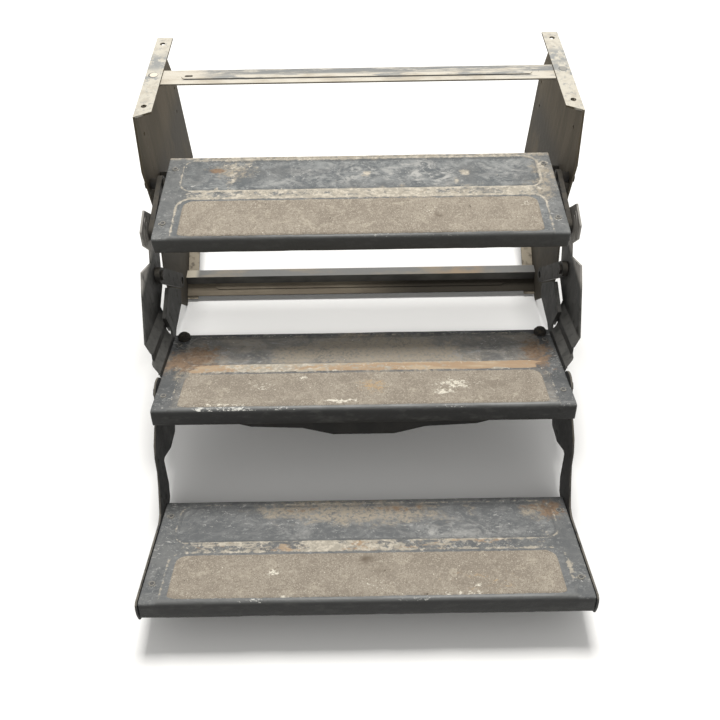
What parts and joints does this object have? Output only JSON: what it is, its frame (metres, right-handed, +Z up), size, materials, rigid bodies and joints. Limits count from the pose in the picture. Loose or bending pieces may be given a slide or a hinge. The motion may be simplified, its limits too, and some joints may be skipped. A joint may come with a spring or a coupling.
{
  "type": "caravan entry step",
  "caption": "Folding pressed-steel entry step with grit-faced treads that hang on swing links from a bolt-up housing under a vehicle doorway",
  "frame": {"origin": "centre of the footprint, on the ground", "axes": "+X along the treads to the right as seen from in front, +Y in under the vehicle, +Z up, normal to the mounting flanges"},
  "size_m": [0.692, 0.9222, 0.4225],
  "materials": {
    "housing_steel": "worn paint, dusty",
    "dusty_steel": "cream dust over worn paint",
    "dark_steel": "worn dark paint",
    "bolt_steel": "dull",
    "tread_paint": "scuffed paint",
    "grit": "coarse grit",
    "rivet_steel": "dull",
    "bumper_rubber": "matte",
    "arm_paint": "worn dark paint"
  },
  "bodies": {
    "housing": {"left_side_plate": "housing_steel", "right_side_plate": "housing_steel", "top_back_strap": "dusty_steel", "lower_back_strap": "dark_steel", "lower_cross_bar": "dark_steel", "link_anchor_bolts": "bolt_steel", "control_anchor_bolts": "bolt_steel"},
    "front_links": {"left_front_link": "arm_paint", "right_front_link": "arm_paint"},
    "rear_links": {"left_rear_link": "arm_paint", "right_rear_link": "arm_paint"},
    "top_step": {"top_tread": "tread_paint", "top_grip_strip": "grit", "top_tread_rivets": "rivet_steel", "left_tread_bracket": "arm_paint", "right_tread_bracket": "arm_paint", "top_pivot_bolts": "bolt_steel"},
    "middle_step": {"middle_tread": "tread_paint", "middle_grip_strip": "grit", "middle_tread_rivets": "rivet_steel", "middle_stiffener": "arm_paint", "left_riser_plate": "arm_paint", "right_riser_plate": "arm_paint", "left_heel_gusset": "arm_paint", "right_heel_gusset": "arm_paint", "heel_bumpers": "bumper_rubber", "control_link_bolts": "bolt_steel", "arm_pivot_bolts": "bolt_steel"},
    "control_links": {"left_control_link": "arm_paint", "right_control_link": "arm_paint"},
    "bottom_step": {"bottom_tread": "tread_paint", "bottom_grip_strip": "grit", "bottom_tread_rivets": "rivet_steel", "left_bottom_arm": "arm_paint", "right_bottom_arm": "arm_paint"}
  },
  "joints": [
    {"name": "step_swing", "type": "hinge", "parent": "housing", "child": "front_links", "pos_m": [0, 0.15912, 0.3046], "axis": [1, 0, 0], "range_deg": [-11, 40]},
    {"name": "rear_swing", "type": "hinge", "parent": "housing", "child": "rear_links", "pos_m": [0, 0.21944, 0.2726], "axis": [1, 0, 0], "range_deg": [-11.5, 40.5]},
    {"name": "top_level", "type": "hinge", "parent": "front_links", "child": "top_step", "pos_m": [0, 0.05609, 0.29048], "axis": [-1, 0, 0], "range_deg": [-11.5, 40.5]},
    {"name": "middle_fold", "type": "hinge", "parent": "top_step", "child": "middle_step", "pos_m": [0, 0.05609, 0.29048], "axis": [-1, 0, 0], "range_deg": [-16, 56]},
    {"name": "control_swing", "type": "hinge", "parent": "middle_step", "child": "control_links", "pos_m": [0, 0.02709, 0.22748], "axis": [1, 0, 0], "range_deg": [-18.5, 66.5]},
    {"name": "bottom_fold", "type": "hinge", "parent": "middle_step", "child": "bottom_step", "pos_m": [0, -0.1546, 0.15901], "axis": [-1, 0, 0], "range_deg": [-3.5, 105]}
  ],
  "couplings": [
    {"joint": "rear_swing", "follows": "step_swing", "ratio": 1},
    {"joint": "top_level", "follows": "step_swing", "ratio": 1},
    {"joint": "middle_fold", "follows": "step_swing", "ratio": 1.38},
    {"joint": "control_swing", "follows": "step_swing", "ratio": 1.65}
  ]
}
